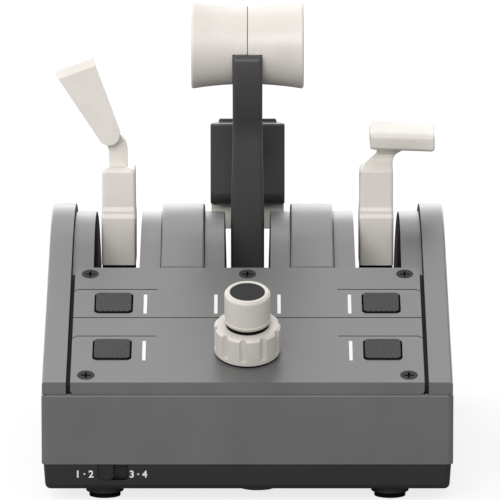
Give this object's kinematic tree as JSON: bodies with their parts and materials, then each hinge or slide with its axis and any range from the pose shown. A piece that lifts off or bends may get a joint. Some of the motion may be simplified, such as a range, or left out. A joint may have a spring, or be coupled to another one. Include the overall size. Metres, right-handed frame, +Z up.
{
  "type": "throttle quadrant",
  "caption": "Desktop flight throttle quadrant: grey housing with sloping control panel, dual knob, square keys, speed-brake, thrust and flap levers and a reverse lever.",
  "frame": {"origin": "on the desk, under the middle of the housing's outline (sides, front and back)", "axes": "+X to the user's right, +Y away from the user, +Z up; the panel faces -Y and up"},
  "size_m": [0.1856, 0.24, 0.2056],
  "materials": {
    "grey_shell": "satin",
    "black_pan": "textured",
    "rubber": "matte",
    "dark_plastic": "textured",
    "warm_white": "satin",
    "screw_black": "satin",
    "steel": "brushed",
    "bronze": "satin",
    "brass": "satin",
    "board_green": "gloss",
    "magnet_nickel": "dull"
  },
  "bodies": {
    "housing": {"base_pan": "black_pan", "rubber_feet": "rubber", "clamp_insert": "brass", "base_screws": "screw_black", "lower_housing": "grey_shell", "side_rail_left": "grey_shell", "side_rail_right": "grey_shell", "middle_cover_left": "grey_shell", "middle_cover_right": "grey_shell", "lever_channel_left": "grey_shell", "lever_channel_centre": "grey_shell", "lever_channel_right": "grey_shell", "front_panel": "grey_shell", "panel_screws": "screw_black", "button_board": "board_green", "encoder_body": "black_pan", "switch_body": "black_pan", "pivot_shaft": "steel", "bearing_bracket_1": "steel", "bearing_bracket_2": "steel", "bearing_bracket_3": "steel", "bearing_bracket_4": "steel", "bracket_screws": "steel", "shaft_collars": "steel", "lever_sensors": "board_green", "main_board": "board_green", "usb_socket": "steel"},
    "speedbrake_lever": {"speedbrake_arm": "dark_plastic", "speedbrake_bush": "bronze", "speedbrake_magnet": "magnet_nickel", "speedbrake_sleeve": "warm_white", "speedbrake_paddle": "warm_white"},
    "thrust_lever": {"thrust_arm": "dark_plastic", "thrust_bush": "bronze", "thrust_magnet": "magnet_nickel", "thrust_grip_left": "warm_white", "thrust_grip_right": "warm_white", "grip_bolt": "steel", "reverser_pin": "steel"},
    "left_thumb_button": {"thumb_button_left": "dark_plastic"},
    "right_thumb_button": {"thumb_button_right": "dark_plastic"},
    "reverse_lever": {"reverser_link": "dark_plastic", "reverser_pad": "dark_plastic", "reverser_pull": "warm_white"},
    "flap_lever": {"flap_arm": "dark_plastic", "flap_bush": "bronze", "flap_magnet": "magnet_nickel", "flap_sleeve": "warm_white", "flap_handle": "warm_white"},
    "outer_ring": {"knob_ring": "warm_white"},
    "knob_rotor": {"encoder_rotor": "black_pan"},
    "push_knob": {"inner_knob": "warm_white", "knob_cap": "dark_plastic"},
    "lower_left_button": {"button_lower_left": "dark_plastic"},
    "lower_right_button": {"button_lower_right": "dark_plastic"},
    "upper_left_button": {"button_upper_left": "dark_plastic"},
    "upper_right_button": {"button_upper_right": "dark_plastic"},
    "selector": {"selector_slider": "dark_plastic"}
  },
  "joints": [
    {"name": "speedbrake_swing", "type": "hinge", "parent": "housing", "child": "speedbrake_lever", "pos_m": [-0.0609, 0.043, 0.0354], "axis": [1, 0, 0], "range_deg": [-30, 30]},
    {"name": "thrust_swing", "type": "hinge", "parent": "housing", "child": "thrust_lever", "pos_m": [0, 0.043, 0.0354], "axis": [1, 0, 0], "range_deg": [-30, 30]},
    {"name": "flap_swing", "type": "hinge", "parent": "housing", "child": "flap_lever", "pos_m": [0.0609, 0.043, 0.0354], "axis": [1, 0, 0], "range_deg": [-30, 30]},
    {"name": "left_thumb_press", "type": "slide", "parent": "thrust_lever", "child": "left_thumb_button", "axis": [1, 0, 0], "range_m": [0, 0.0008], "stiffness_N_per_m": 1500, "springref_m": -0.0004},
    {"name": "right_thumb_press", "type": "slide", "parent": "thrust_lever", "child": "right_thumb_button", "axis": [-1, 0, 0], "range_m": [0, 0.0008], "stiffness_N_per_m": 1500, "springref_m": -0.0004},
    {"name": "reverse_lift", "type": "hinge", "parent": "thrust_lever", "child": "reverse_lever", "pos_m": [0, 0.054, 0.1514], "axis": [1, 0, 0], "range_deg": [0, 55]},
    {"name": "outer_ring_turn", "type": "hinge", "parent": "housing", "child": "outer_ring", "pos_m": [0, -0.09439, 0.06415], "axis": [0, -0.3502, 0.9367], "continuous": true},
    {"name": "inner_knob_turn", "type": "hinge", "parent": "housing", "child": "knob_rotor", "pos_m": [0, -0.09439, 0.06415], "axis": [0, -0.3502, 0.9367], "continuous": true},
    {"name": "inner_knob_push", "type": "slide", "parent": "knob_rotor", "child": "push_knob", "axis": [0, 0.3502, -0.9367], "range_m": [0, 0.001], "stiffness_N_per_m": 2500, "springref_m": -0.0005},
    {"name": "lower_left_press", "type": "slide", "parent": "housing", "child": "lower_left_button", "axis": [0, 0.3502, -0.9367], "range_m": [0, 0.0009], "stiffness_N_per_m": 1500, "springref_m": -0.0006},
    {"name": "lower_right_press", "type": "slide", "parent": "housing", "child": "lower_right_button", "axis": [0, 0.3502, -0.9367], "range_m": [0, 0.0009], "stiffness_N_per_m": 1500, "springref_m": -0.0006},
    {"name": "upper_left_press", "type": "slide", "parent": "housing", "child": "upper_left_button", "axis": [0, 0.3502, -0.9367], "range_m": [0, 0.0009], "stiffness_N_per_m": 1500, "springref_m": -0.0006},
    {"name": "upper_right_press", "type": "slide", "parent": "housing", "child": "upper_right_button", "axis": [0, 0.3502, -0.9367], "range_m": [0, 0.0009], "stiffness_N_per_m": 1500, "springref_m": -0.0006},
    {"name": "selector_slide", "type": "slide", "parent": "housing", "child": "selector", "axis": [1, 0, 0], "range_m": [0, 0.006]}
  ]
}
